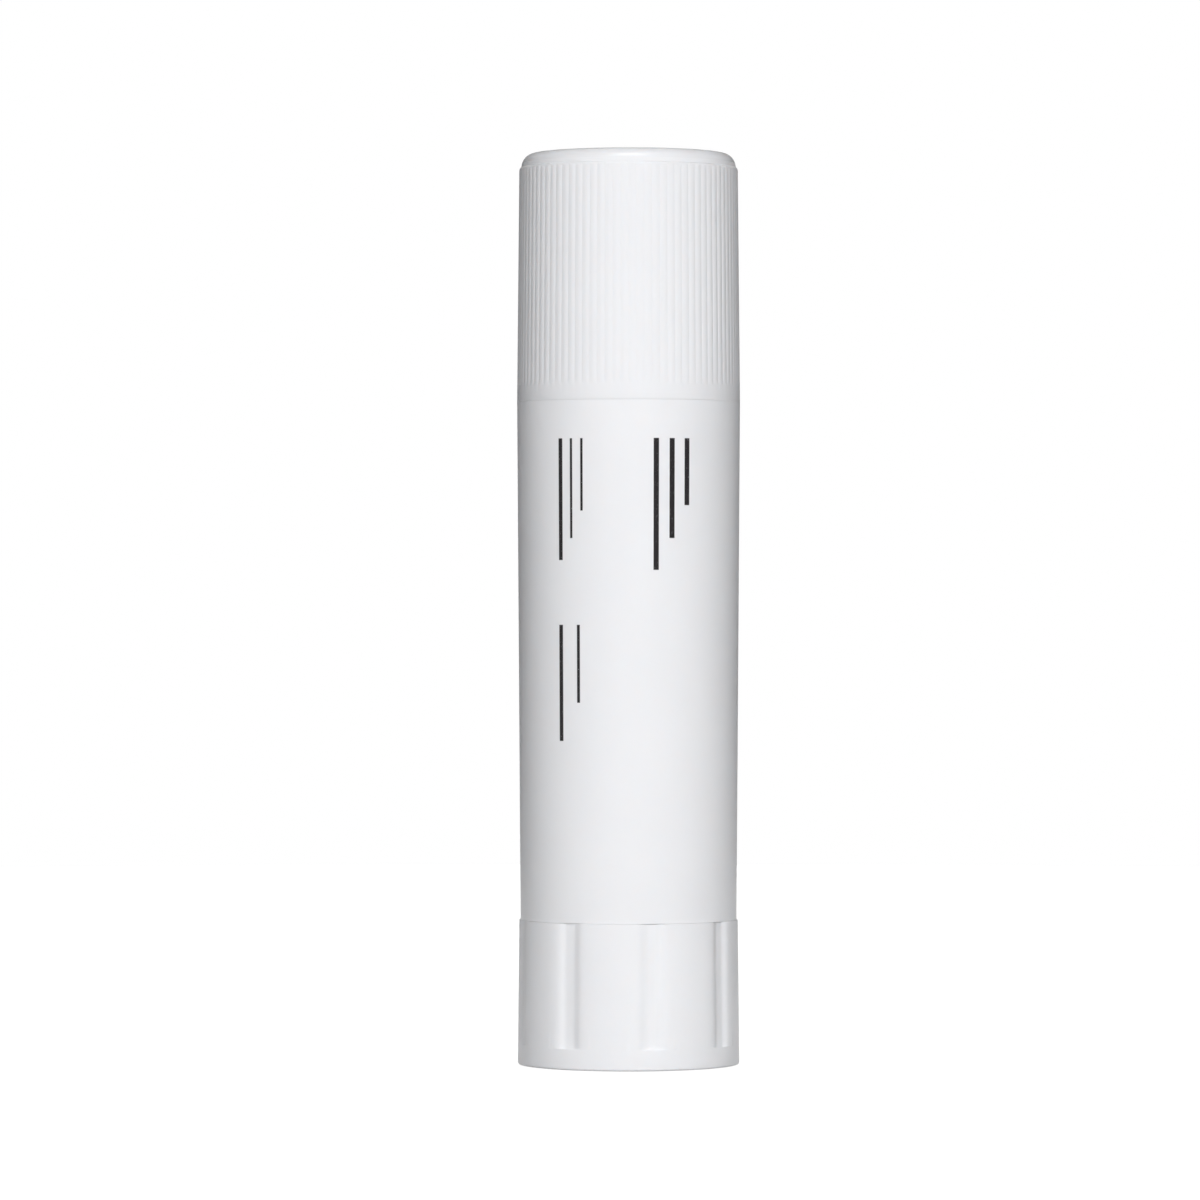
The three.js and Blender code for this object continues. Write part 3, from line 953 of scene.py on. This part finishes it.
sealLook = {
    "even": {"Specular IOR Level": 0.3},
    "shade": (0.52, 0.52, 0.51, 1),
    "tint": (0.64, 0.64, 0.62, 1),
    "cellSize": 0.22,
    "cellRange": (0.35, 0.65),
    "cellHeight": 0.03,
    "roughness": 0.75,
    "cellRoughness": 0.15,  # what the walls between cells add to it
}


# Foamed rubber: fine cells, matt, a little darker in the cells
def sealRubber():
    s = sealLook
    material, shader, place = startMaterial("seal_rubber", s["even"])
    cells = noise(place, s["cellSize"], detail=3.0).between(*s["cellRange"])
    colour = blend(cells, s["shade"], s["tint"])
    finish(shader, colour, s["roughness"] + s["cellRoughness"] * cells, s["cellHeight"] * cells)
    return material


addPiece(makeSeal(), "barrel", "seal_ring", sealRubber())
print("pieces made")


# The places and sizes of the lamps are metres. A lamp of level 1 lights a white surface that faces it
# to white.
studio = {
    "lamps": {
        "key": {"place": (0.03, -0.62, 1.02), "aim": 0.08, "size": (0.6, 0.4), "level": 0.1},
        "shine": {"place": (0.03, -0.62, 1.02), "aim": 0.08, "size": (0.55, 0.3), "level": 0.5},
        "front": {"place": (0.0, -1.26, 0.36), "aim": 0.045, "size": (0.5, 0.7), "level": 0.155},
        "left": {"place": (-0.38, -1.2, 0.36), "aim": 0.045, "size": (0.5, 0.7), "level": 0.29},
        "right": {"place": (0.38, -1.2, 0.36), "aim": 0.045, "size": (0.5, 0.7), "level": 0.53},
        "leftEdge": {"place": (-1.22, -0.33, 0.36), "aim": 0.045, "size": (0.5, 0.7), "level": 0.09},
        "rightEdge": {"place": (1.22, -0.33, 0.36), "aim": 0.045, "size": (0.5, 0.7), "level": 0.065},
        "back": {"place": (0.0, 0.6, 0.95), "aim": 0.04, "size": (0.6, 0.4), "level": 0.32},
        "rear": {"place": (0.0, 1.22, 0.36), "aim": 0.045, "size": (0.5, 0.7), "level": 0.55},
    },
    "glossLamp": "shine",
    "ambient": 0.01,
    "backdrop": (0.97, 0.995),  # how far back a reflection points where it turns white
    "floorRadius": 450,
    "floorColumns": 96,
    "floorDrop": 0.05,
    "floorGlow": 0.91,
    "floorColour": (0.3, 0.3, 0.3, 1),
}


# A lamp aims at a level on Z. Its power is pi^2 d^2 for each level: its light falls off with the square
# of the distance d, and pi^2 turns watts into the brightness of a white surface. All but one light the
# plastic evenly and leave no gloss on it, and that one gives the gloss alone.
def addLamps():
    for name, s in studio["lamps"].items():
        light = bpy.data.lights.new(name, "AREA")
        light.shape = "RECTANGLE"
        light.size, light.size_y = s["size"]
        towards = Vector((0, 0, s["aim"])) - Vector(s["place"])
        light.energy = s["level"] * math.pi ** 2 * towards.length_squared
        lamp = bpy.data.objects.new(name, light)
        lamp.location = s["place"]
        lamp.rotation_euler = towards.to_track_quat("-Z", "Y").to_euler()
        lamp.visible_camera = False
        lamp.visible_glossy = name == studio["glossLamp"]
        lamp.visible_diffuse = not lamp.visible_glossy
        bpy.context.scene.collection.objects.link(lamp)


# The world is white to the camera and through glass, and dim as a light. A reflection sees the white
# only close behind the object, where the studio's backdrop hangs.
def makeWorld():
    s = studio
    world = bpy.data.worlds.new("studio")
    world.use_nodes = True
    bpy.context.scene.world = world
    seen = Wire(world.node_tree).node("ShaderNodeLightPath", {}, {}, "Is Camera Ray")
    direction = seen.node("ShaderNodeTexCoord", {}, {}, "Generated")
    depth = seen.node("ShaderNodeSeparateXYZ", {}, {0: direction}, "Y")
    behind = seen.output("Is Glossy Ray") * depth.between(*s["backdrop"])
    white = seen + seen.output("Is Transmission Ray") + behind
    background = world.node_tree.nodes["Background"]
    background.inputs["Color"].default_value = (1, 1, 1, 1)
    plug(s["ambient"] + (1 - s["ambient"]) * white, background, "Strength")


# The floor glows near white to the camera and in reflections, and adds what light falls on it, so the
# object's shadow still shows. Seen from below it is clear.
def makeFloor():
    s = studio
    radius, columns = np.array([[0], [s["floorRadius"]]]), turnColumns(s["floorColumns"])
    mesh = makeMesh("floor", roundZ(radius, 0, columns))
    floor = bpy.data.objects.new("floor", mesh)
    bpy.context.scene.collection.objects.link(floor)
    floor.location.z = -s["floorDrop"] * mm
    material = bpy.data.materials.new("floor")
    material.use_nodes = True
    tree = material.node_tree
    tree.nodes.remove(tree.nodes["Principled BSDF"])
    seen = Wire(tree).node("ShaderNodeLightPath", {}, {}, "Is Camera Ray")
    white = s["floorGlow"] * (seen + seen.output("Is Glossy Ray") + seen.output("Is Transmission Ray"))
    glow = seen.node("ShaderNodeEmission", {}, {"Color": (1, 1, 1, 1), "Strength": white})
    matt = seen.node("ShaderNodeBsdfDiffuse", {}, {"Color": s["floorColour"]})
    both = seen.node("ShaderNodeAddShader", {}, {0: glow, 1: matt})
    clear = seen.node("ShaderNodeBsdfTransparent", {}, {})
    below = seen.node("ShaderNodeNewGeometry", {}, {}, "Backfacing")
    mixed = seen.node("ShaderNodeMixShader", {}, {0: below, 1: both, 2: clear})
    plug(mixed, tree.nodes["Material Output"], "Surface")
    mesh.materials.append(material)


camera = {
    "distance": 600,
    "level": 42.86,
    "sideways": -2.64,
    "lens": 194.7,
    "sensor": 36,
    "clip": (0.01, 20),  # metres
}


def addCamera():
    s = camera
    data = bpy.data.cameras.new("camera")
    data.lens, data.sensor_width = s["lens"], s["sensor"]
    data.clip_start, data.clip_end = s["clip"]
    view = bpy.data.objects.new("camera", data)
    view.location = (s["sideways"] * mm, -s["distance"] * mm, s["level"] * mm)
    view.rotation_euler = (math.radians(90), 0, 0)
    bpy.context.scene.collection.objects.link(view)
    bpy.context.scene.camera = view


addLamps()
makeWorld()
makeFloor()
addCamera()
bpy.context.scene.view_settings.view_transform = "Standard"
print("studio ready")
